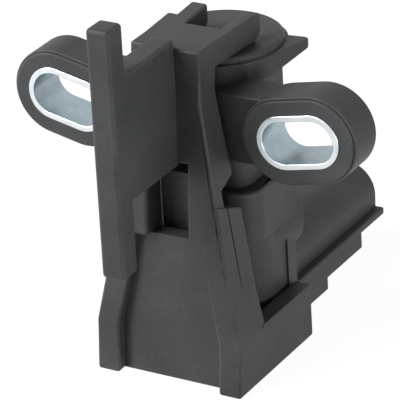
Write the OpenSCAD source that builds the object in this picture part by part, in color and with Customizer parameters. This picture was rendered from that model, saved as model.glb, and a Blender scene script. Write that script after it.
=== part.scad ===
// Crankshaft position sensor with a clip-on alignment jig.
// X runs along the two slotted ears, Y to the rear and Z up. The origin is midway between the two slots,
// on the plane of the sleeves' rear faces, which bear on the engine.

/* [Slots and sleeves] */
// Distance between the middles of the two slots
slot_spacing = 39.2; // [37:0.1:46]
// Clear width of each slot, for an M6 bolt
slot_width = 6.6; // [5.4:0.1:7.4]
// Straight length of each slot between its round ends
slot_travel = 5.2; // [3:0.1:7]
// Tilt of each slot, along a circle about the trigger wheel
slot_tilt = 12; // [0:0.5:16]
// Wall of the oval steel sleeves
sleeve_wall = 0.95; // [0.6:0.05:1.3]
// Length of the sleeves, which take the bolt load
sleeve_len = 7.2; // [6:0.1:9]
// How far the sleeves stand out of the plastic at each end
sleeve_proud = 0.2; // [0:0.05:0.5]

/* [Ears] */
// Plastic around each sleeve
ear_wall = 2.65; // [1.8:0.05:3.2]
// Width and depth of the step round the ears' front rim
rim_step = 0.4; // [0.2:0.05:0.8]
// How far the web that carries an ear lies behind the ear's front
web_setback = 2.2; // [1:0.1:3]
// Height of the web's front above the slots' middle
web_up = 4.6; // [3.5:0.1:5.4]
// How much higher the web is at its back
web_rise = 1.1; // [0:0.1:2]
// Depth of the web below the slots' middle
web_down = 6.2; // [4:0.1:8]

/* [Sensor body] */
// Distance of the body's upright axis behind the mounting plane
axis_back = 5.9; // [5:0.1:8]
// Half the body's width
body_r = 9.05; // [8.8:0.05:10]
// Distance from the axis to the flat front
body_front = 9.5; // [8:0.1:10.5]
// Radius of the front's upright corners
body_corner = 6.4; // [3:0.1:7]
// How far the flat sides go on behind the axis
side_back = 3.5; // [2:0.1:5]
// Width of the upright rib on each flat side
rib_w = 2.6; // [1.6:0.1:4]
// How far the ribs stand out
rib_step = 0.3; // [0.1:0.05:0.4]
// Depth of the body's foot below the slots' middle
body_low = 38; // [36.5:0.1:44]
// How far the collar stands out of the body
collar_step = 0.85; // [0.6:0.05:1]
// Depth of the collar's top below the slots' middle
collar_low = 12; // [11:0.1:13.5]
// Height of the collar
collar_h = 8.3; // [7:0.1:10]
// Radius of the collar's front corners
collar_corner = 4; // [2.5:0.1:6]
// Width of the rim round the collar's top
rim_w = 1.2; // [0.8:0.1:1.8]
// Depth of the collar's top below its rim
rim_deep = 0.4; // [0.2:0.1:1]
// Height of the swelling on each side of the body
swell_h = 7.8; // [5:0.1:9]
// How far the swellings stand out of the body
swell_out = 1.3; // [1:0.05:1.5]
// Length of the swellings
swell_len = 7; // [5:0.1:9]
// Turn of the swellings, their front ends into the body
swell_turn = 10.5; // [5:0.5:12]
// Half the width of the boss behind the jig's window
boss_half = 4.5; // [4.3:0.1:5.6]
// Reach of the boss ahead of the mounting plane
boss_ahead = 7.2; // [6:0.05:7.3]
// Height of the boss
boss_h = 9.7; // [7:0.1:11]

/* [Sensing tip] */
// Height of the tip's face above the slots' middle
tip_up = 9; // [8.4:0.1:12]
// Radius of the tip
tip_r = 9.6; // [8.4:0.1:10]
// Height of the tip above its flange
tip_h = 1; // [0.7:0.1:1.6]
// Bevel at the tip's rim
tip_bevel = 0.35; // [0.1:0.05:0.6]
// Width of the flange around the tip
flange_w = 0.6; // [0.3:0.05:1.2]
// Thickness of the flange
flange_t = 3.4; // [2:0.1:3.6]
// Width of the end of each of the flange's two wings
wing_w = 3.6; // [2.4:0.1:4.4]
// Thickness of the wings' ends
wing_t = 1.4; // [1:0.05:2.4]
// Reach of the wings behind the axis
wing_back = 6.1; // [4:0.1:8]
// Reach of the wings' ends to each side
wing_out = 12.15; // [11.2:0.05:13]
// Turn of the tangent along which the wings leave the flange
wing_turn = 15; // [8:0.5:18]

/* [Connector] */
// Half the connector's width
conn_r = 7; // [6.6:0.1:7.6]
// Radius of the connector's two round top edges
conn_round = 5.1; // [3.5:0.1:5.6]
// Height of the round edges' axes above the body's foot
conn_up = 6.55; // [5.8:0.05:7.2]
// Length of the connector behind the body
conn_len = 25.45; // [22:0.1:30]
// How far the side ledges stand out
ledge_w = 1.4; // [0.8:0.1:1.8]
// Thickness of the side ledges
ledge_t = 1.2; // [0.8:0.1:1.5]
// How far the ledges lie below the round edges' axes
ledge_drop = 2.05; // [1.4:0.05:2.6]
// Length of the connector that the middle skirt leaves free
skirt_short = 7.1; // [5:0.1:9]
// Depth of the middle skirt below the ledges
skirt_t = 2.9; // [1.8:0.1:3.2]
// Length of the low skirt at the root
root_len = 6.65; // [4:0.1:9]
// Depth of the low skirt below the middle skirt
root_t = 2; // [1:0.1:2.4]
// Wall of the socket
socket_wall = 1.5; // [1.1:0.1:1.9]
// Depth of the socket
socket_deep = 14; // [12:0.1:16]

/* [Terminals and coil] */
// Distance between the middles of the two blades
blade_pitch = 5; // [4.4:0.1:5.4]
// Width of a contact blade
blade_w = 2.8; // [2:0.1:3.2]
// Thickness of a contact blade
blade_t = 0.8; // [0.5:0.1:1]
// Length of a blade in the socket
blade_out = 8; // [6:0.1:9]
// Height of the blades above the round edges' axes
blade_up = 0.3; // [-0.2:0.1:0.9]
// Width of a lead strip
lead_w = 1.2; // [0.8:0.1:1.4]
// Thickness of a lead strip
lead_t = 0.5; // [0.3:0.05:0.6]
// Radius of the room for the coil
room_r = 6; // [5.8:0.05:6.4]
// Wall of the neck around the coil's room
neck_wall = 1.4; // [1:0.1:1.9]
// How much further the neck reaches to each side above the web's foot
shoulder = 1.1; // [0.2:0.1:1.6]
// Plastic over the iron core at the tip
tip_wall = 1.2; // [0.8:0.1:1.8]
// Radius of the iron core
core_r = 2; // [1.4:0.1:2.4]
// Length of the reel
reel_h = 13.6; // [10:0.1:15]
// Radius of the reel's two flanges
reel_r = 5.7; // [5:0.1:5.75]
// Thickness of the reel's flanges and tube
reel_t = 0.9; // [0.6:0.05:1.2]
// Gap between the winding and the rim of the reel's flanges
wind_gap = 0.5; // [0.2:0.05:0.8]
// Radius of the magnet
magnet_r = 3.8; // [3:0.1:4]
// Height of the magnet
magnet_h = 8; // [5:0.1:10]
// Thickness of the lid that seals the foot
lid_t = 2; // [1.2:0.1:3]
// Clearance of pieces that are pushed into the housing
fit = 0.05; // [0.02:0.01:0.1]

/* [Jig blade] */
// Thickness of the blade and its fin
blade_thick = 3.8; // [2.8:0.1:5]
// Depth of the blade from front to back
blade_deep = 4.2; // [3:0.1:5.5]
// Height of the blade's top over the roof
blade_rise = 9.65; // [6:0.05:13]
// Length of the blade
blade_long = 39.3; // [34:0.1:44]
// Clear distance from the blade to the panel, at the slots' height
fin_reach = 12.75; // [9:0.05:17]
// Height of the fin's top over the roof
fin_rise = 1.65; // [1:0.05:3]
// Height of the fin
fin_h = 19.7; // [16:0.1:22]
// Round at the blade's ends and at the fin's foot
blade_round = 0.7; // [0.3:0.05:1.2]

/* [Jig panel] */
// Distance of the panel's front ahead of the mounting plane, at the slots' height
panel_ahead = 11.45; // [10.8:0.05:14]
// Lean of the panel, its foot forward
panel_lean = 4.9; // [2:0.1:7]
// Half the panel's width at the roof
panel_half = 5.85; // [5.4:0.05:6.4]
// Half the panel's width where it turns out to the tray
flare_half = 11; // [10.4:0.05:11.6]
// Height over the tray's walls at which the panel turns out
flare_over = 6; // [4:0.1:8]
// Height above the slots' middle at which the panel starts to widen
flare_up = 5.4; // [3:0.1:8]
// Thickness of the panel, which makes the window a deep one
panel_t = 4.7; // [4:0.05:5]
// Wall of the side flanges and of the tray
jig_wall = 1.6; // [1.2:0.05:1.9]
// Width of the two legs beside the sunk lower panel
leg_w = 3.8; // [3:0.1:4.6]
// How far the lower panel is sunk
sunk = 1.8; // [1:0.1:2.2]
// Distance from the panel to the back of the side flanges, at the slots' height
flange_deep = 5.35; // [4:0.05:6.2]
// Width of the window
window_w = 7.1; // [5.5:0.1:8]
// Height of the window
window_h = 12.6; // [9:0.1:13]
// Depth of the window's sill below the slots' middle
window_low = 17.1; // [16.4:0.1:19]
// Step on the panel's sides, where they get wider
butt_step = 0.4; // [0.15:0.05:0.6]
// Depth of the step below the slots' middle, at the front
butt_low = 10.4; // [8:0.1:14]
// How much lower the step is at the back
butt_fall = 2.3; // [0:0.1:3]
// Width of the seam down each side
seam_w = 0.3; // [0.15:0.05:0.6]
// Distance of the seam, and of the notch's front edge above it, ahead of the mounting plane
seam_ahead = 10.2; // [9:0.1:11]
// Depth of the notch's top below the slots' middle, at the front
notch_low = 8.6; // [8:0.1:9.4]
// How much higher the notch's top is at the back
notch_rise = 1.4; // [0:0.1:2]

/* [Jig roof] */
// Height of the roof over the tip's face
roof_h = 4.15; // [3.2:0.05:5.5]
// Thickness of the roof plate
roof_t = 1.7; // [1.2:0.1:2.4]
// Reach of the roof plate behind the panel's top
roof_long = 9.4; // [7:0.1:11]
// Reach of the two prongs behind the roof plate
prong_long = 7.6; // [5:0.1:9]
// Width of the rails along the roof's sides
rail_w = 2; // [1.4:0.1:2.4]
// How far the left prong stands in from the left rail
prong_in = 1.5; // [0.8:0.1:2]
// Width of the left prong
prong_w = 2.8; // [2:0.1:3.4]
// How much wider the roof is at its back, on each side
roof_splay = 0.8; // [0:0.05:1.2]
// Length of the slope under the prongs' ends
prong_slope = 1.6; // [0.6:0.1:2.4]

/* [Jig tray] */
// Thickness of the tray's side walls
tray_wall = 2.9; // [1.6:0.1:3]
// Half the width of the tray
tray_half = 12.45; // [12.1:0.05:14]
// Thickness of the tray's floor
floor_t = 2.3; // [1.4:0.1:3]
// Height of the tray's side walls
tray_h = 8.9; // [6:0.1:10]
// Reach of the tray behind the mounting plane
tray_back = 8.2; // [6:0.1:11]

/* [Hidden] */
$fn = 64;
sleeve_r = slot_width / 2 + sleeve_wall;
ear_r = sleeve_r + ear_wall;
ear_front = -sleeve_len + sleeve_proud;
foot_z = -body_low;
collar_z = -collar_low;
collar_r = body_r + collar_step;
collar_front = body_front + collar_step;
flange_z = tip_up - tip_h;
flange_r = tip_r + flange_w;
neck_r = room_r + neck_wall;
room_z = tip_up - tip_wall;
conn_z = foot_z + conn_up;
conn_y = axis_back + body_r + conn_len;
conn_half = conn_r + ledge_w;
ledge_z = conn_z - ledge_drop;
skirt_z = ledge_z - ledge_t;
skirt_half = conn_half - ledge_w / 3;
swell_z = collar_z - collar_h - 1.4;
socket_y = conn_y - socket_deep;
lead_y = axis_back + room_r - 1.1 - lead_t;
blade_z = conn_z + blade_up;
reel_z = flange_z - flange_t - reel_h;
roof_z = tip_up + roof_h;
base_z = foot_z - floor_t;
tray_z = base_z + tray_h;
flare_z = tray_z + flare_over;
lean = tan(panel_lean);
flange_back = flange_deep - panel_ahead;
roof_front = panel_y(roof_z);
roof_rear = roof_front + roof_long;
prong_rear = roof_rear + prong_long;
blade_back = -panel_ahead - fin_reach;
blade_top = roof_z + blade_rise;
fin_top = roof_z + fin_rise;
sill_z = -window_low;
butt_z = -butt_low;
far = 200;

// Where the leaning panel's front lies at height z.
function panel_y(z) = -panel_ahead + lean * z;

// Half the panel's width at height z, where it widens.
function half_at(z) = panel_half + (flare_half - panel_half) * (flare_up - z) / (flare_up - flare_z);

// Half the width of the panel's wider sides at height z, below the step.
function side_at(z) = flare_half
    + (half_at(butt_z) + butt_step - flare_half) * (z - flare_z) / (butt_z - flare_z);

// Half the roof's width at a distance y behind the mounting plane.
function roof_x(y) = panel_half + roof_splay * max(0, y - flange_back) / (prong_rear - flange_back);

// Carries an outline drawn in X and Z from one Y plane to another.
module along_y(y0, y1) {
    translate([0, y1, 0]) rotate([90, 0, 0]) linear_extrude(y1 - y0) children();
}

// Carries an outline drawn in Y and Z from one X plane to another.
module along_x(x0, x1) {
    translate([x0, 0, 0]) rotate([90, 0, 90]) linear_extrude(x1 - x0) children();
}

// Carries an outline drawn in X and Y from one height to another.
module along_z(z0, z1) {
    translate([0, 0, z0]) linear_extrude(z1 - z0) children();
}

// A bar with two round ends, the shape of a slot.
module oval(travel, r) {
    for (s = [-1, 1]) translate([s * travel / 2, 0]) circle(r);
    translate([-travel / 2, -r]) square([travel, 2 * r]);
}

// A rectangle between two corners, with round corners.
module soft_box(x0, y0, x1, y1, r) {
    translate([x0 + r, y0]) square([x1 - x0 - 2 * r, y1 - y0]);
    translate([x0, y0 + r]) square([x1 - x0, y1 - y0 - 2 * r]);
    for (x = [x0 + r, x1 - r], y = [y0 + r, y1 - r]) translate([x, y]) circle(r);
}

// The body's plan about its axis: a round back, flat sides, and a flat front with round corners.
module d_plan(r, front, corner) {
    translate([0, axis_back]) {
        circle(r);
        translate([-r, corner - front]) square([2 * r, front - corner + side_back]);
        translate([corner - r, -front]) square([2 * (r - corner), front]);
        for (s = [-1, 1]) translate([s * (r - corner), corner - front]) circle(corner);
    }
}

// Places an outline at the slot on one side.
module at_slot(side) {
    translate([side * slot_spacing / 2, 0]) rotate(side * slot_tilt) children();
}

module sleeve(side) {
    along_y(-sleeve_len, 0) at_slot(side) difference() {
        oval(slot_travel, sleeve_r);
        oval(slot_travel, slot_width / 2);
    }
}

module ears() {
    for (side = [-1, 1]) {
        along_y(ear_front, ear_front + rim_step + 0.1) at_slot(side) oval(slot_travel, ear_r - rim_step);
        along_y(ear_front + rim_step, -sleeve_proud) at_slot(side) oval(slot_travel, ear_r);
    }
    along_x(-slot_spacing / 2, slot_spacing / 2) polygon([
        [ear_front + web_setback, -web_down], [-sleeve_proud, -web_down],
        [-sleeve_proud, web_up + web_rise], [ear_front + web_setback, web_up]]);
}

// A swelling along each side of the body, under the collar.
module swellings() {
    arc = (pow(swell_h / 2, 2) + swell_out * swell_out) / (2 * swell_out);
    for (s = [0, 1]) mirror([s, 0, 0])
        translate([body_r + swell_out, axis_back + swell_len - 2.3, swell_z]) rotate([0, 0, -swell_turn])
            along_y(-swell_len, 0) intersection() {
                translate([-arc, 0]) circle(arc);
                translate([-2 * swell_out, -swell_h]) square([2 * swell_out, 2 * swell_h]);
            }
}

// The boss that fills the jig's window from behind.
module boss() {
    along_z(sill_z - 1, sill_z - 1 + boss_h) soft_box(-boss_half, -boss_ahead, boss_half, 0, 1);
}

module tip() {
    translate([0, axis_back, flange_z]) rotate_extrude() polygon([
        [0, -0.1], [tip_r, -0.1], [tip_r, tip_h - tip_bevel], [tip_r - tip_bevel, tip_h], [0, tip_h]]);
    flange();
}

// The flange around the tip, with two wings that leave it along its tangent.
// It gets thinner towards the wings' ends.
module flange() {
    turn_y = axis_back - flange_r * sin(wing_turn);
    end_y = axis_back + wing_back;
    intersection() {
        along_z(flange_z - flange_t, flange_z) {
            translate([0, axis_back]) circle(flange_r);
            for (s = [0, 1]) mirror([s, 0]) polygon([
                [tip_r / 2, turn_y], [flange_r * cos(wing_turn), turn_y], [wing_out, end_y],
                [wing_out - wing_w, end_y - wing_w * tan(wing_turn) / 2], [tip_r / 2, axis_back]]);
        }
        along_x(-far / 2, far / 2) polygon([
            [-far / 2, flange_z - flange_t], [turn_y, flange_z - flange_t], [end_y, flange_z - wing_t],
            [far / 2, flange_z - wing_t], [far / 2, flange_z], [-far / 2, flange_z]]);
    }
}

// The connector's outline, drawn in by the inset: two round top edges on a flat foot.
module conn_outline(inset, down) {
    half = conn_r - inset;
    r = conn_round - inset;
    translate([0, conn_z]) {
        intersection() {
            union() {
                for (s = [-1, 1]) translate([s * (half - r), 0]) circle(r);
                translate([r - half, 0]) square([2 * (half - r), r]);
            }
            translate([-half, -0.1]) square([2 * half, r + 1]);
        }
        translate([-half, -down]) square([2 * half, down]);
    }
}

module connector() {
    root_y = axis_back + body_r / 2;
    along_y(root_y, conn_y) {
        conn_outline(0, ledge_drop + ledge_t);
        translate([-conn_half, skirt_z]) square([2 * conn_half, ledge_t]);
    }
    along_y(root_y, conn_y - skirt_short)
        translate([-skirt_half, skirt_z - skirt_t]) square([2 * skirt_half, skirt_t]);
    along_y(tray_back + 1, axis_back + body_r + root_len)
        translate([-skirt_half, skirt_z - skirt_t - root_t]) square([2 * skirt_half, root_t]);
}

// The blade's cross-section, grown by the clearance in the housing.
module blade_cut(side, gap) {
    translate([side * blade_pitch / 2 - blade_w / 2 - gap, blade_z - gap])
        square([blade_w + 2 * gap, blade_t + 2 * gap]);
}

module terminal(side) {
    along_y(lead_y - 0.3, socket_y + blade_out) blade_cut(side, 0);
}

module lead(side) {
    translate([side * blade_pitch / 2 - lead_w / 2, lead_y, blade_z + blade_t])
        cube([lead_w, lead_t, reel_z - blade_z - blade_t]);
}

module sensor_housing() {
    color("#47484b") difference() {
        union() {
            along_z(foot_z, collar_z - collar_h) d_plan(body_r, body_front, body_corner);
            along_z(foot_z, collar_z - collar_h)
                translate([-body_r - rib_step, axis_back + side_back - rib_w])
                    square([2 * (body_r + rib_step), rib_w]);
            along_z(collar_z - collar_h, collar_z) d_plan(collar_r, collar_front, collar_corner);
            along_z(collar_z - 1, flange_z) d_plan(neck_r, neck_r + 0.6, body_corner / 2);
            along_z(-web_down, flange_z) d_plan(neck_r + shoulder, neck_r + 0.6, body_corner / 2);
            tip();
            ears();
            swellings();
            boss();
            connector();
        }
        along_z(collar_z - rim_deep, collar_z + 0.01) difference() {
            d_plan(collar_r - rim_w, collar_front - rim_w, collar_corner - rim_w);
            d_plan(neck_r, neck_r + 0.6, body_corner / 2);
        }
        along_z(foot_z - 1, room_z) translate([0, axis_back]) circle(room_r);
        for (side = [-1, 1]) {
            along_y(-sleeve_len - 1, 1) at_slot(side) oval(slot_travel, sleeve_r);
            along_y(axis_back, socket_y + 1) blade_cut(side, fit);
        }
        along_y(socket_y, conn_y + 1) conn_outline(socket_wall, ledge_drop);
    }
}

module left_sleeve() { color("#c9d2d6") sleeve(-1); }
module right_sleeve() { color("#c9d2d6") sleeve(1); }

module pole_piece() {
    color("#8d9196") translate([0, axis_back, reel_z]) cylinder(r = core_r, h = room_z - reel_z);
}

module magnet() {
    color("#3b3f45") translate([0, axis_back, reel_z - magnet_h]) cylinder(r = magnet_r, h = magnet_h);
}

module coil_bobbin() {
    color("#d8d2bf") translate([0, axis_back, reel_z]) rotate_extrude() polygon([
        [core_r + fit, 0], [reel_r, 0], [reel_r, reel_t], [core_r + fit + reel_t, reel_t],
        [core_r + fit + reel_t, reel_h - reel_t], [reel_r, reel_h - reel_t], [reel_r, reel_h],
        [core_r + fit, reel_h]]);
}

module coil_winding() {
    color("#b06a35") translate([0, axis_back, reel_z + reel_t]) rotate_extrude()
        translate([core_r + fit + reel_t, 0])
            square([reel_r - wind_gap - core_r - fit - reel_t, reel_h - 2 * reel_t]);
}

module left_lead() { color("#c7c2b4") lead(-1); }
module right_lead() { color("#c7c2b4") lead(1); }
module left_terminal() { color("#c7c2b4") terminal(-1); }
module right_terminal() { color("#c7c2b4") terminal(1); }

module foot_lid() {
    color("#2f3032") translate([0, axis_back, foot_z]) cylinder(r = room_r - fit, h = lid_t);
}

// The jig's outline from the front, drawn in from its edge by the inset.
module front_outline(inset, z0, z1) {
    side = [for (p = [[panel_half, roof_z], [panel_half, flare_up], [flare_half, flare_z],
        [(flare_half + 2 * tray_half) / 3, tray_z + flare_over / 4], [tray_half, tray_z - flare_over / 8],
        [tray_half, base_z]]) [p[0] - inset, p[1]]];
    intersection() {
        polygon(concat(side, [for (i = [len(side) - 1 : -1 : 0]) [-side[i][0], side[i][1]]]));
        translate([-far / 2, z0]) square([far, z1 - z0]);
    }
}

// A slab that leans with the panel, from one distance behind its front to another.
module leaning(d0, d1, z0, z1) {
    along_x(-far / 2, far / 2) polygon([
        [panel_y(z0) + d0, z0], [panel_y(z0) + d1, z0], [panel_y(z1) + d1, z1], [panel_y(z1) + d0, z1]]);
}

// The panel with its two side flanges, which makes a shallow channel that is open to the rear.
module channel() {
    difference() {
        intersection() {
            along_y(-far / 2, flange_back) front_outline(0, base_z, roof_z);
            leaning(0, far / 2, base_z, roof_z);
        }
        intersection() {
            along_y(-far / 2, far / 2) front_outline(jig_wall, foot_z, roof_z - roof_t);
            leaning(panel_t, far, foot_z, roof_z - roof_t);
        }
        intersection() {
            along_y(-far / 2, far / 2) front_outline(leg_w, base_z, sill_z);
            leaning(-1, sunk, base_z, sill_z);
        }
        along_y(-panel_ahead - far / 4, flange_back)
            translate([-window_w / 2, sill_z]) square([window_w, window_h]);
    }
}

// The wider sides of the panel below the step, which falls to the rear, with a seam down each of them.
module wide_sides() {
    deep = jig_wall / 2;
    difference() {
        intersection() {
            along_y(-far / 2, flange_back) for (s = [0, 1]) mirror([s, 0])
                polygon([[side_at(butt_z), butt_z], [side_at(flare_z), flare_z],
                    [side_at(flare_z) - deep, flare_z], [side_at(butt_z) - butt_step - deep, butt_z]]);
            leaning(0, far / 2, flare_z, butt_z);
            along_x(-far / 2, far / 2) polygon([[-far / 2, flare_z], [flange_back, flare_z],
                [flange_back, butt_z - butt_fall], [panel_y(butt_z), butt_z], [-far / 2, butt_z]]);
        }
        along_y(-seam_ahead, seam_w - seam_ahead) for (s = [0, 1]) mirror([s, 0])
            polygon([[side_at(butt_z) - seam_w / 2, butt_z], [side_at(flare_z) - seam_w / 2, flare_z],
                [side_at(flare_z) + 1, flare_z], [side_at(butt_z) + 1, butt_z]]);
    }
}

// A notch in each side of the panel, which leaves room for the sensor's collar.
module notches() {
    front_y = panel_y(butt_z);
    step_z = butt_z - butt_fall * (-seam_ahead - front_y) / (flange_back - front_y);
    for (s = [0, 1]) mirror([s, 0, 0]) along_x(panel_half, far / 2) polygon([
        [-seam_ahead, step_z], [-seam_ahead, -notch_low], [flange_back, notch_rise - notch_low],
        [0, notch_rise - notch_low], [0, butt_z - butt_fall], [flange_back, butt_z - butt_fall]]);
}

// The upright blade in front and the fin that carries it, cut from one plate.
module blade() {
    y0 = blade_back - blade_deep;
    z0 = blade_top - blade_long;
    z1 = fin_top - fin_h;
    along_x(-blade_thick / 2, blade_thick / 2) {
        soft_box(y0, z0, blade_back, blade_top, blade_round);
        difference() {
            translate([blade_back - 1, z1 - blade_round])
                square([2 + fin_reach, fin_h + 2 * blade_round]);
            translate([blade_back + blade_round, fin_top + blade_round]) circle(blade_round);
            translate([blade_back + blade_round, z1 - blade_round]) circle(blade_round);
            translate([blade_back + blade_round, fin_top]) square([far, far]);
            translate([blade_back + blade_round, z1 - far]) square([far, far]);
            polygon([[panel_y(z1) + 1, z1 - 1], [panel_y(fin_top) + 1, fin_top + 1],
                [far, fin_top + 1], [far, z1 - 1]]);
        }
    }
}

// The roof over the tip: a plate with a rail down each side, and two prongs that stand on the tip's face.
// The right prong goes on from the right rail, and the left one stands in from the left rail.
module roof() {
    plate_y = roof_front + jig_wall / 2;
    left_y = roof_rear + prong_long / 3;
    along_z(roof_z - roof_t, roof_z) for (s = [0, 1]) mirror([s, 0])
        polygon([[-0.1, plate_y], [panel_half, plate_y], [panel_half, flange_back],
            [roof_x(roof_rear), roof_rear], [-0.1, roof_rear]]);
    difference() {
        along_z(tip_up, roof_z) {
            rail(flange_back, prong_rear, 0, rail_w);
            mirror([1, 0]) rail(flange_back, left_y, 0, rail_w);
            mirror([1, 0]) rail(roof_rear - 1, prong_rear, prong_in, prong_w);
        }
        along_x(-far / 2, far / 2) polygon([
            [prong_rear - prong_slope, tip_up - 1], [prong_rear - prong_slope, tip_up],
            [prong_rear + 1, tip_up + prong_slope + 0.2], [prong_rear + 1, tip_up - 1]]);
    }
}

// The plan of a rail along the roof's right edge, set in from it, from one y to another.
module rail(y0, y1, in, wide) {
    polygon([[roof_x(y0) - in, y0], [roof_x(y1) - in, y1], [roof_x(y1) - in - wide, y1],
        [roof_x(y0) - in - wide, y0], [roof_x(y0) - in - wide, y0 - 0.5], [roof_x(y0) - in, y0 - 0.5]]);
}

// The open tray that the sensor's foot stands in.
module tray() {
    along_z(base_z, foot_z) translate([-tray_half, panel_y(foot_z) + sunk])
        square([2 * tray_half, tray_back - panel_y(foot_z) - sunk]);
    along_z(base_z, tray_z) for (s = [0, 1]) mirror([s, 0])
        translate([tray_half - tray_wall, flange_back - 1]) square([tray_wall, tray_back - flange_back + 1]);
}

module alignment_jig() {
    color("#4a4b4d") {
        difference() {
            union() {
                channel();
                wide_sides();
            }
            notches();
        }
        blade();
        roof();
        tray();
    }
}

alignment_jig();
sensor_housing();
left_sleeve();
right_sleeve();
pole_piece();
magnet();
coil_bobbin();
coil_winding();
left_lead();
right_lead();
left_terminal();
right_terminal();
foot_lid();
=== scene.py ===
"""Looks of a crankshaft position sensor with its clip-on alignment jig."""

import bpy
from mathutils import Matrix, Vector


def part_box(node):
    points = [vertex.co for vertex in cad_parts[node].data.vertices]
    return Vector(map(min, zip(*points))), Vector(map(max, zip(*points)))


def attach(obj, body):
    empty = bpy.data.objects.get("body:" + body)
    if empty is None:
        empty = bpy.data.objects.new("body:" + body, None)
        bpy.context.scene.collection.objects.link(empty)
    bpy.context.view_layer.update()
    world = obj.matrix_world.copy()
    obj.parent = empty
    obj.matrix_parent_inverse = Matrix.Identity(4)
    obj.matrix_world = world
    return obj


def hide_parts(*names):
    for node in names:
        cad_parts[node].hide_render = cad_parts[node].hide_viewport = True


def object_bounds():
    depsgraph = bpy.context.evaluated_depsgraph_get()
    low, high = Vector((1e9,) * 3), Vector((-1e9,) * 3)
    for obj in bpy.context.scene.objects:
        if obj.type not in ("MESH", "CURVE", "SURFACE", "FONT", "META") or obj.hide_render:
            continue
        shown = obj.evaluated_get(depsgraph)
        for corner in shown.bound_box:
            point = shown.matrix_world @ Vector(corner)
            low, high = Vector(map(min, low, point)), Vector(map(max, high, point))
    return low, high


bl_info = {
    "name": "Crankshaft Position Sensor",
    "version": (1, 0, 0),
    "blender": (4, 5, 0),
    "location": "View3D > Sidebar > Sensor",
    "description": "Gives the packed sensor its moulded edges, its finishes and a studio stage",
    "category": "Object",
}

import math

import bmesh
import bpy
from bpy.props import FloatProperty, FloatVectorProperty, PointerProperty
from mathutils import Euler, Matrix, Vector

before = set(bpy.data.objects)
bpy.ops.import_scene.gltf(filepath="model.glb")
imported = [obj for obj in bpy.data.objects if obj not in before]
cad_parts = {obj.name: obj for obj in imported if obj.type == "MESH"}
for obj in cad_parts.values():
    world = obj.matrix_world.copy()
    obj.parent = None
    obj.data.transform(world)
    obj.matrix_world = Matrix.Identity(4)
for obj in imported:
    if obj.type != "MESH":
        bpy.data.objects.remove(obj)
cad_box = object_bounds()

MM = 0.001

# Distance within which a corner is taken to lie on a plane.
CLOSE = 0.05 * MM
# Distance within which two corners of a CAD mesh are one, and angle within which its faces are one flat side.
SAME_CORNER = 0.002 * MM
SAME_SIDE = math.radians(0.5)
# Angle from which an edge isn't yet round.
NOT_ROUND = math.radians(28)
# Angles from which an edge is drawn sharp, as a rule and where a low form runs out into a flat side.
SHARP_EDGE = math.radians(40)
LOW_EDGE = math.radians(10)
# How many times its own width a round on the jig needs beside it.
ROOM_NEEDED = 3

# Half the thickness of the jig's blade and its fin, as in the part's source.
BLADE_HALF = 1.9 * MM
# Heights of the fin's lower edges and of the tray's top, and a reach just inside the tray's outer edges.
FIN_LOW = -4.9 * MM
TRAY_TOP = -31.4 * MM
TRAY_OUT = 12.2 * MM
# Share of a normal along the bolt from which a face of a sleeve is an end and not a wall.
ALONG_BOLT = 0.5
# Height of the top of the collar round the housing.
COLLAR_TOP = -12 * MM
# Reach of the flange's wings to each side, and a height below their ends.
WING_OUT = 12.15 * MM
WING_LOW = 6 * MM
# Where the housing's swellings lie: out to each side, to the rear and up.
SWELLING = ((7.5 * MM, 11 * MM), (3 * MM, 13 * MM), (-28 * MM, -20.5 * MM))
# A height just above the rim of the housing's foot.
FOOT_TOP = -37.5 * MM

# Range of nearly all values of a noise texture, and of those that pale the edges, partly as wear from
# handling and partly as a painted highlight.
NOISE = (0.3, 0.7)
RUBBED_AND_HIGHLIT = (0.35, 0.65)
# Distance between a wave texture's bands at scale 1.
BAND = math.pi / 10

# Radius of the floor in metres, the share of it that is seen as plain white, and how bright that white is.
FLOOR_RADIUS = 3.0
FLOOR_SHARE = 0.88
FLOOR_WHITE = 1.08
# Brightness of the room as a light, and as the background that is seen.
ROOM_LIGHT = 0.2
ROOM_WHITE = 1.0
# Each softbox's name, place from the part's middle in metres, width in metres and power in watts.
SOFTBOXES = (
    ("overhead_softbox", (-0.35, -0.4, 0.56), 0.5, 7.6),
    ("left_softbox", (-0.5, -0.6, 0.12), 0.25, 2.7),
    ("right_softbox", (0.6, -0.08, 0.03), 0.1, 1.6),
)


def linear(code):
    """Scene-linear colour of an sRGB hex value."""
    parts = [int(code[i:i + 2], 16) / 255 for i in (1, 3, 5)]
    return tuple(c / 12.92 if c <= 0.04045 else ((c + 0.055) / 1.055) ** 2.4 for c in parts)


def colour(name, description, code):
    """A colour property whose default is an sRGB hex value."""
    return FloatVectorProperty(
        name=name, description=description, default=linear(code), size=3, min=0, max=1, subtype="COLOR")


def length(name, description, mm):
    """A length property whose default is given in millimetres."""
    return FloatProperty(
        name=name, description=description, default=mm * MM, min=0, precision=5, unit="LENGTH")


def angle(name, description, degrees):
    """An angle property whose default is in degrees."""
    return FloatProperty(
        name=name, description=description, default=math.radians(degrees), subtype="ANGLE", unit="ROTATION")


class SensorMouldings(bpy.types.PropertyGroup):
    """Edges and finish of the moulded pieces."""

    jig_edge: length("Jig edge", "Round on the jig's moulded edges", 0.45)
    blade_edge: length("Blade edge", "Round on the sides of the jig's blade and its fin", 0.65)
    wing_edge: length("Wing edge", "Round on the ends of the flange's wings", 1.1)
    collar_edge: length("Collar edge", "Round on the top of the housing's collar", 0.5)
    housing_edge: length("Housing edge", "Round on the housing's moulded edges", 0.25)
    tray_edge: length("Tray edge", "Round on the top of the jig's tray", 0.14)
    jig_colour: colour("Jig colour", "Colour of the jig's acetal", "#313233")
    housing_colour: colour("Housing colour", "Colour of the housing's nylon", "#343536")
    bobbin_colour: colour("Bobbin colour", "Colour of the coil's bobbin", "#d9d2bc")
    potting_colour: colour("Potting colour", "Colour of the foot's potting resin", "#18191a")
    grain: length("Grain", "Width of the moulded surface's grain", 0.35)


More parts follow.
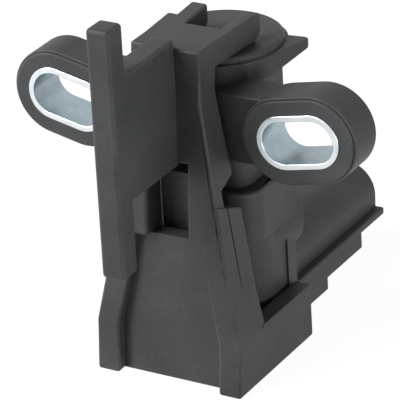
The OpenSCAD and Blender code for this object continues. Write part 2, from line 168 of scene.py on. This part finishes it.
class SensorMetals(bpy.types.PropertyGroup):
    """Edges and finish of the metal pieces."""

    sleeve_edge: length("Sleeve edge", "Round on the sleeves' rims", 0.18)
    contact_edge: length("Contact edge", "Bevel on the contact blades", 0.12)
    zinc_colour: colour("Zinc colour", "Colour of the plated sleeves", "#d3d9dc")
    bore_colour: colour("Bore colour", "Colour of the thinner plating in the sleeves", "#a3b3ba")
    tin_colour: colour("Tin colour", "Colour of the tinned strips", "#cfccc4")
    iron_colour: colour("Iron colour", "Colour of the turned pole piece", "#8f9296")
    magnet_colour: colour("Magnet colour", "Colour of the sintered magnet", "#3a3d42")
    copper_colour: colour("Copper colour", "Colour of the enamelled wire", "#b4683a")
    wire: length("Wire", "Width of one turn of the winding", 0.25)


class SensorStage(bpy.types.PropertyGroup):
    """Camera and floor."""

    azimuth: angle("Azimuth", "Camera's turn round the part", 31.14)
    elevation: angle("Elevation", "Camera's height above the horizon", 25.55)
    roll: angle("Roll", "Camera's turn about its own axis", -3.26)
    distance: length("Distance", "Distance from the camera to the point it looks at", 520.8)
    aim: FloatVectorProperty(
        name="Aim", description="Point that the camera looks at",
        default=(4.6 * MM, -10.35 * MM, -10.6 * MM), size=3, subtype="XYZ", unit="LENGTH")
    view_angle: angle("View angle", "Camera's field of view", 6.486)
    floor_colour: colour("Floor colour", "Colour of the pale floor", "#f2f2f2")


def node(tree, kind, inputs=None, **settings):
    """Adds a shader node with its settings, and its inputs as values or links."""
    made = tree.nodes.new(kind)
    for name, value in settings.items():
        setattr(made, name, value)
    for name, value in (inputs or {}).items():
        if isinstance(value, bpy.types.NodeSocket):
            tree.links.new(value, made.inputs[name])
        else:
            made.inputs[name].default_value = value
    return made


def maths(tree, operation, first, second):
    """The result of a calculation with two of a shader's numbers."""
    made = node(tree, "ShaderNodeMath", {0: first, 1: second}, operation=operation)
    return made.outputs["Value"]


def spread(tree, value, low, high, start=0.0, end=1.0):
    """A number that runs from start to end, made to run from low to high."""
    made = node(tree, "ShaderNodeMapRange", {
        "Value": value, "From Min": start, "From Max": end, "To Min": low, "To Max": high})
    return made.outputs["Result"]


def toned(tree, base, tone):
    """A colour times a number."""
    made = node(tree, "ShaderNodeVectorMath", {0: base, "Scale": tone}, operation="SCALE")
    return made.outputs["Vector"]


def noise(tree, place, width, detail, **inputs):
    """A noise pattern with spots of about a width."""
    made = node(tree, "ShaderNodeTexNoise", {"Vector": place, "Scale": 1 / width, "Detail": detail, **inputs})
    return made.outputs["Fac"]


def bands(tree, place, pitch, **inputs):
    """A wave pattern with rings up the piece, a pitch apart."""
    made = node(tree, "ShaderNodeTexWave", {
        "Vector": place, "Scale": BAND / pitch, **inputs}, bands_direction="Z")
    return made.outputs["Fac"]


def relief(tree, height, strength, depth):
    """The normal of a surface with a fine relief."""
    made = node(tree, "ShaderNodeBump", {"Height": height, "Strength": strength, "Distance": depth})
    return made.outputs["Normal"]


def new_material(name):
    """A material with an empty tree."""
    material = bpy.data.materials.new(name)
    material.use_nodes = True
    material.node_tree.nodes.clear()
    return material, material.node_tree


def new_finish(name):
    """A material with an empty tree, and the place on the piece that wears it."""
    material, tree = new_material(name)
    return material, tree, node(tree, "ShaderNodeTexCoord").outputs["Object"]


def with_surface(material, inputs):
    """The material, with one shader that has these inputs."""
    tree = material.node_tree
    shader = node(tree, "ShaderNodeBsdfPrincipled", inputs)
    node(tree, "ShaderNodeOutputMaterial", {"Surface": shader.outputs["BSDF"]})
    return material


def moulded_plastic(name, base, grain):
    """Moulded nylon or acetal: the tool's spark-eroded skin gives a satin surface with a fine even grain, the
    flow of the melt leaves slow changes of tone, and the edges are paled, partly as wear from handling and
    partly as a painted highlight."""
    material, tree, place = new_finish(name)
    skin = noise(tree, place, grain, 3.0, Roughness=0.6)
    flow = noise(tree, place, 6 * MM, 3.0)
    slow = spread(tree, flow, 0.85, 1.15, *NOISE)
    fine = spread(tree, skin, 0.8, 1.2, *NOISE)
    tone = maths(tree, "MULTIPLY", slow, fine)
    # Paler band on the rounded edges: partly wear from handling, partly a painted highlight where the edges
    # catch light.
    edge = node(tree, "ShaderNodeAttribute", attribute_name="edge_wear_and_highlight").outputs["Fac"]
    worn_and_highlit = maths(tree, "MULTIPLY", edge, spread(tree, flow, 0.0, 0.4, *RUBBED_AND_HIGHLIT))
    return with_surface(material, {
        "Base Color": toned(tree, base, maths(tree, "ADD", tone, worn_and_highlit)),
        "Roughness": spread(tree, skin, 0.46, 0.58, *NOISE),
        "Normal": relief(tree, skin, 0.3, 0.03 * MM),
        "IOR": 1.5,
        "Specular IOR Level": 0.25,
    })


def zinc_plate(base, inside):
    """Zinc-plated steel: a bright bluish white plating over a drawn tube, with a soft crystalline bloom. The
    bath reaches the bore less, so the plating there is thinner and duller."""
    material, tree, place = new_finish("zinc_plated_steel")
    bloom = noise(tree, place, 0.5 * MM, 4.0)
    cloud = noise(tree, place, 2.5 * MM, 2.0)
    bore = node(tree, "ShaderNodeAttribute", attribute_name="bore").outputs["Fac"]
    plating = node(tree, "ShaderNodeMix", {"Factor": bore, "A": base, "B": inside}, data_type="VECTOR")
    return with_surface(material, {
        "Base Color": toned(tree, plating.outputs["Result"], spread(tree, cloud, 0.9, 1.05, *NOISE)),
        "Metallic": 1.0,
        "Roughness": spread(tree, bloom, 0.3, 0.42, *NOISE),
        "Normal": relief(tree, bloom, 0.2, 0.02 * MM),
    })


def turned_iron(base):
    """Soft iron turned on a lathe: the tool's feed leaves rings about 0.2 mm apart round the bar."""
    material, tree, place = new_finish("turned_soft_iron")
    rings = bands(tree, place, 0.2 * MM, Distortion=0.6)
    return with_surface(material, {
        "Base Color": (*base, 1),
        "Metallic": 1.0,
        "Roughness": spread(tree, rings, 0.32, 0.48),
        "Normal": relief(tree, rings, 0.4, 0.02 * MM),
    })


def sintered_magnet(base):
    """Sintered magnet, ground after firing: a dark grey body with a fine grain and small open pores."""
    material, tree, place = new_finish("sintered_ferrite")
    pores = node(tree, "ShaderNodeTexVoronoi", {"Vector": place, "Scale": 1 / (0.3 * MM)}).outputs["Distance"]
    return with_surface(material, {
        "Base Color": toned(tree, base, spread(tree, pores, 0.75, 1.15)),
        "Roughness": 0.5,
        "Normal": relief(tree, pores, 0.3, 0.02 * MM),
    })


def natural_polyester(base):
    """Unfilled polyester in its natural ivory: a smooth moulded skin with faint streaks of flow."""
    material, tree, place = new_finish("natural_polyester")
    streaks = noise(tree, place, 2 * MM, 3.0, Distortion=1.0)
    return with_surface(material, {
        "Base Color": toned(tree, base, spread(tree, streaks, 0.92, 1.06)),
        "Roughness": spread(tree, streaks, 0.35, 0.5),
        "IOR": 1.57,
    })


def enamelled_wire(base, wire):
    """Enamelled copper wire, wound turn by turn: each turn stands out as a round ridge with its own tone.
    Real wire in such a coil is thinner, and is drawn as coarse as it needs to be to show."""
    material, tree, place = new_finish("enamelled_copper_wire")
    turns = bands(tree, place, wire)
    patch = noise(tree, place, 1.2 * MM, 2.0)
    return with_surface(material, {
        "Base Color": toned(tree, base, spread(tree, patch, 0.75, 1.2)),
        "Metallic": 1.0,
        "Roughness": 0.35,
        "Normal": relief(tree, turns, 0.8, wire / 3),
        "Coat Weight": 0.5,
        "Coat Roughness": 0.15,
    })


def tinned_brass(base):
    """Brass strip with a bright tin coat: rolling leaves fine lines along the strip."""
    material, tree, place = new_finish("tinned_brass")
    along = node(tree, "ShaderNodeMapping", {"Vector": place, "Scale": (1, 0.05, 1)}).outputs["Vector"]
    lines = noise(tree, along, 0.15 * MM, 2.0)
    return with_surface(material, {
        "Base Color": (*base, 1),
        "Metallic": 1.0,
        "Roughness": spread(tree, lines, 0.2, 0.4),
        "Normal": relief(tree, lines, 0.2, 0.01 * MM),
    })


def potting_resin(base):
    """Cast epoxy: a glossy black face with the slow waves of a poured surface and a little dust in it."""
    material, tree, place = new_finish("cast_epoxy")
    waves = noise(tree, place, 4 * MM, 1.0)
    dust = noise(tree, place, 0.3 * MM, 2.0)
    return with_surface(material, {
        "Base Color": (*base, 1),
        "Roughness": spread(tree, dust, 0.15, 0.35),
        "Normal": relief(tree, waves, 0.4, 0.1 * MM),
        "IOR": 1.55,
    })


def outer_edges(shape):
    """The edges that stand out and aren't yet round."""
    return [e for e in shape.edges if e.is_convex and e.calc_face_angle() > NOT_ROUND]


def edges_within(shape, within):
    """The outer edges in the part of the shape that a test picks out."""
    return [e for e in outer_edges(shape) if all(within(v.co) for v in e.verts)]


def width_from(face, edge):
    """Width of a face from one of its edges, or its mean width where it isn't four-sided."""
    if len(face.verts) == 4:
        return face.calc_area() / edge.calc_length()
    return 2 * face.calc_area() / face.calc_perimeter()


def room_beside(edge):
    """Width of the narrower of the two faces that meet at an edge."""
    return min(width_from(face, edge) for face in edge.link_faces)


def leave_out(edges, within):
    """The edges that don't lie wholly in the part that a test picks out."""
    return [e for e in edges if not all(within(v.co) for v in e.verts)]


def fin_low(place):
    """Whether a corner of the jig is on the fin's lower edges, which meet the window's top and stay sharp."""
    return abs(place.z - FIN_LOW) < CLOSE


def tray_top(place):
    """Whether a corner of the jig is on the tray's outer top edges, which have little room beside them."""
    return abs(place.z - TRAY_TOP) < CLOSE and abs(place.x) > TRAY_OUT


def beside_swelling(place):
    """Whether a corner of the housing is by a swelling, whose edges run out into the body and stay sharp."""
    reach = (abs(place.x), place.y, place.z)
    return all(low < size < high for size, (low, high) in zip(reach, SWELLING))


def on_foot(place):
    """Whether a corner of the housing is on the rim of its foot, which stands in the tray and stays sharp."""
    return place.z < FOOT_TOP


def round_off(shape, edges, width, steps):
    """Rounds edges and marks the new faces for the pale edge band, partly wear and partly a painted
    highlight.
    """
    highlight_and_wear_layer = shape.faces.layers.float.get("edge_wear_and_highlight") or shape.faces.layers.float.new("edge_wear_and_highlight")
    made = bmesh.ops.bevel(
        shape, geom=edges, offset=width, offset_type="OFFSET", affect="EDGES", segments=steps, profile=0.5,
        clamp_overlap=False, material=-1)
    for face in made["faces"]:
        face[highlight_and_wear_layer] = 1


def merged_copy(name):
    """The merged mesh of a CAD node, as a bmesh with one face for each flat side."""
    shape = bmesh.new()
    shape.from_mesh(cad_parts[name].data)
    bmesh.ops.remove_doubles(shape, verts=shape.verts, dist=SAME_CORNER)
    bmesh.ops.dissolve_limit(shape, verts=shape.verts, edges=shape.edges, angle_limit=SAME_SIDE)
    return shape


def take_place(shape, name, crisp=None):
    """Makes the bmesh a smooth piece that stands for the CAD node. Where a test says so, low edges are sharp
    too."""
    shape.normal_update()
    for face in shape.faces:
        face.smooth = True
    for edge in shape.edges:
        low = crisp and all(crisp(v.co) for v in edge.verts)
        edge.smooth = edge.calc_face_angle(0) < (LOW_EDGE if low else SHARP_EDGE)
    mesh = bpy.data.meshes.new(name + "_finished")
    shape.to_mesh(mesh)
    shape.free()
    piece = bpy.data.objects.new(name + "_finished", mesh)
    bpy.context.scene.collection.objects.link(piece)
    even = piece.modifiers.new("even_normals", "WEIGHTED_NORMAL")
    even.keep_sharp = True
    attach(piece, "root")
    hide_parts(name)
    return piece


def finish_with(piece, material):
    """Gives a piece its one material."""
    piece.data.materials.append(material)


def coat(name, material):
    """Gives a CAD node a better material."""
    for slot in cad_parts[name].material_slots:
        slot.material = material


class SENSOR_OT_alignment_jig(bpy.types.Operator):
    """Rounds the jig's edges, the blade's most, and gives it its moulded finish"""

    bl_idname = "sensor.alignment_jig"
    bl_label = "Alignment Jig"

    def execute(self, context):
        sizes = context.scene.sensor_mouldings
        shape = merged_copy("alignment_jig")
        blade = edges_within(shape, lambda v: abs(abs(v.x) - BLADE_HALF) < CLOSE)
        round_off(shape, leave_out(blade, fin_low), sizes.blade_edge, steps=4)
        wide = [e for e in outer_edges(shape) if room_beside(e) > ROOM_NEEDED * sizes.jig_edge]
        round_off(shape, leave_out(leave_out(wide, fin_low), tray_top), sizes.jig_edge, steps=3)
        round_off(shape, edges_within(shape, tray_top), sizes.tray_edge, steps=2)
        piece = take_place(shape, "alignment_jig")
        acetal = moulded_plastic("moulded_acetal", sizes.jig_colour, sizes.grain)
        finish_with(piece, acetal)
        return {"FINISHED"}


class SENSOR_OT_sensor_housing(bpy.types.Operator):
    """Rounds the housing's edges and gives it its moulded finish"""

    bl_idname = "sensor.sensor_housing"
    bl_label = "Sensor Housing"

    def execute(self, context):
        sizes = context.scene.sensor_mouldings
        shape = merged_copy("sensor_housing")
        ends = edges_within(shape, lambda v: abs(v.x) > WING_OUT - CLOSE and v.z > WING_LOW and v.y > 0)
        round_off(shape, ends, sizes.wing_edge, steps=4)
        collar = edges_within(shape, lambda v: abs(v.z - COLLAR_TOP) < CLOSE)
        round_off(shape, collar, sizes.collar_edge, steps=4)
        rest = [e for e in outer_edges(shape)
                if not any(beside_swelling(v.co) or on_foot(v.co) for v in e.verts)]
        round_off(shape, rest, sizes.housing_edge, steps=3)
        piece = take_place(shape, "sensor_housing", beside_swelling)
        nylon = moulded_plastic("moulded_nylon", sizes.housing_colour, sizes.grain)
        finish_with(piece, nylon)
        return {"FINISHED"}


class SENSOR_OT_sleeves(bpy.types.Operator):
    """Rounds the rims of the two sleeves and plates them"""

    bl_idname = "sensor.sleeves"
    bl_label = "Sleeves"

    def execute(self, context):
        sizes = context.scene.sensor_metals
        plate = zinc_plate(sizes.zinc_colour, sizes.bore_colour)
        for name in ("left_sleeve", "right_sleeve"):
            shape = merged_copy(name)
            bore = shape.faces.layers.float.new("bore")
            middle = (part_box(name)[0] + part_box(name)[1]) / 2
            for face in shape.faces:
                inward = face.normal.dot(middle - face.calc_center_median()) > 0
                face[bore] = inward and abs(face.normal.y) < ALONG_BOLT
            round_off(shape, outer_edges(shape), sizes.sleeve_edge, steps=3)
            finish_with(take_place(shape, name), plate)
        return {"FINISHED"}


class SENSOR_OT_coil(bpy.types.Operator):
    """Gives the pole piece, the magnet, the bobbin and the winding their finishes"""

    bl_idname = "sensor.coil"
    bl_label = "Coil and Magnet"

    def execute(self, context):
        metals = context.scene.sensor_metals
        coat("pole_piece", turned_iron(metals.iron_colour))
        coat("magnet", sintered_magnet(metals.magnet_colour))
        coat("coil_bobbin", natural_polyester(context.scene.sensor_mouldings.bobbin_colour))
        coat("coil_winding", enamelled_wire(metals.copper_colour, metals.wire))
        return {"FINISHED"}


class SENSOR_OT_contacts(bpy.types.Operator):
    """Bevels the two contact blades, and tins them and their leads"""

    bl_idname = "sensor.contacts"
    bl_label = "Contacts"

    def execute(self, context):
        sizes = context.scene.sensor_metals
        tin = tinned_brass(sizes.tin_colour)
        for name in ("left_terminal", "right_terminal"):
            shape = merged_copy(name)
            round_off(shape, outer_edges(shape), sizes.contact_edge, steps=2)
            finish_with(take_place(shape, name), tin)
        for name in ("left_lead", "right_lead"):
            coat(name, tin)
        return {"FINISHED"}


class SENSOR_OT_foot_lid(bpy.types.Operator):
    """Gives the potted foot its finish"""

    bl_idname = "sensor.foot_lid"
    bl_label = "Foot Lid"

    def execute(self, context):
        coat("foot_lid", potting_resin(context.scene.sensor_mouldings.potting_colour))
        return {"FINISHED"}


def seen_ray(tree):
    """1 for a ray that sees the stage straight, in a reflection or through something clear."""
    path = node(tree, "ShaderNodeLightPath").outputs
    direct = maths(tree, "MAXIMUM", path["Is Camera Ray"], path["Is Glossy Ray"])
    return maths(tree, "MAXIMUM", direct, path["Is Transmission Ray"])


def mixed_shader(tree, share, first, second):
    """The first shader, with a share of the second."""
    made = node(tree, "ShaderNodeMixShader", {0: share, 1: first.outputs[0], 2: second.outputs[0]})
    return made.outputs[0]


class SENSOR_OT_stage(bpy.types.Operator):
    """Sets the floor, the lights, the world and the camera"""

    bl_idname = "sensor.stage"
    bl_label = "Stage"

    def execute(self, context):
        sizes = context.scene.sensor_stage
        scene = context.scene
        scene.view_settings.view_transform = "Standard"
        self.floor(scene, sizes)
        self.world(scene)
        self.lights(scene)
        self.camera(scene, sizes)
        return {"FINISHED"}

    def floor(self, scene, sizes):
        mesh = bpy.data.meshes.new("floor")
        shape = bmesh.new()
        level = Matrix.Translation((0, 0, cad_box[0].z))
        bmesh.ops.create_circle(shape, cap_ends=True, segments=96, radius=FLOOR_RADIUS, matrix=level)
        shape.to_mesh(mesh)
        shape.free()
        floor = bpy.data.objects.new("floor", mesh)
        scene.collection.objects.link(floor)
        material, tree = new_material("pale_paper")
        share = maths(tree, "MULTIPLY", seen_ray(tree), FLOOR_SHARE)
        paper = node(tree, "ShaderNodeBsdfDiffuse", {"Color": (*sizes.floor_colour, 1)})
        white = node(tree, "ShaderNodeEmission", {"Color": (1, 1, 1, 1), "Strength": FLOOR_WHITE})
        node(tree, "ShaderNodeOutputMaterial", {"Surface": mixed_shader(tree, share, paper, white)})
        mesh.materials.append(material)

    def world(self, scene):
        world = bpy.data.worlds.new("studio")
        scene.world = world
        world.use_nodes = True
        tree = world.node_tree
        tree.nodes.clear()
        room = node(tree, "ShaderNodeBackground", {"Color": (1, 1, 1, 1), "Strength": ROOM_LIGHT})
        white = node(tree, "ShaderNodeBackground", {"Color": (1, 1, 1, 1), "Strength": ROOM_WHITE})
        node(tree, "ShaderNodeOutputWorld", {"Surface": mixed_shader(tree, seen_ray(tree), room, white)})

    def lights(self, scene):
        centre = (cad_box[0] + cad_box[1]) / 2
        for name, place, size, power in SOFTBOXES:
            data = bpy.data.lights.new(name, "AREA")
            data.shape = "DISK"
            data.size = size
            data.energy = power
            lamp = bpy.data.objects.new(name, data)
            lamp.location = centre + Vector(place)
            lamp.rotation_euler = (-Vector(place)).to_track_quat("-Z", "Y").to_euler()
            scene.collection.objects.link(lamp)

    def camera(self, scene, sizes):
        data = bpy.data.cameras.new("camera")
        data.angle = sizes.view_angle
        camera = bpy.data.objects.new("camera", data)
        level = Euler((math.pi / 2 - sizes.elevation, 0, sizes.azimuth)).to_matrix()
        turn = level @ Matrix.Rotation(sizes.roll, 3, "Z")
        place = Vector(sizes.aim) + turn.col[2] * sizes.distance
        camera.matrix_world = Matrix.Translation(place) @ turn.to_4x4()
        scene.collection.objects.link(camera)
        scene.camera = camera


GROUPS = {"sensor_mouldings": SensorMouldings, "sensor_metals": SensorMetals, "sensor_stage": SensorStage}
OPERATORS = (SENSOR_OT_alignment_jig, SENSOR_OT_sensor_housing, SENSOR_OT_sleeves, SENSOR_OT_coil,
             SENSOR_OT_contacts, SENSOR_OT_foot_lid, SENSOR_OT_stage)


class SENSOR_PT_panel(bpy.types.Panel):
    """Lists the sensor's pieces, sizes and stage"""

    bl_idname = "SENSOR_PT_panel"
    bl_label = "Sensor"
    bl_space_type = "VIEW_3D"
    bl_region_type = "UI"
    bl_category = "Sensor"

    def draw(self, context):
        for group in GROUPS:
            box = self.layout.box()
            for name in GROUPS[group].__annotations__:
                box.prop(getattr(context.scene, group), name)
        for operator in OPERATORS:
            self.layout.operator(operator.bl_idname)


CLASSES = (*GROUPS.values(), *OPERATORS, SENSOR_PT_panel)


def register():
    for kind in CLASSES:
        bpy.utils.register_class(kind)
    for name, kind in GROUPS.items():
        setattr(bpy.types.Scene, name, PointerProperty(type=kind))


def unregister():
    for name in GROUPS:
        delattr(bpy.types.Scene, name)
    for kind in reversed(CLASSES):
        bpy.utils.unregister_class(kind)


def main():
    register()
    bpy.ops.sensor.alignment_jig()
    bpy.ops.sensor.sensor_housing()
    bpy.ops.sensor.sleeves()
    bpy.ops.sensor.coil()
    bpy.ops.sensor.contacts()
    bpy.ops.sensor.foot_lid()
    bpy.ops.sensor.stage()


if __name__ == "__main__":
    main()
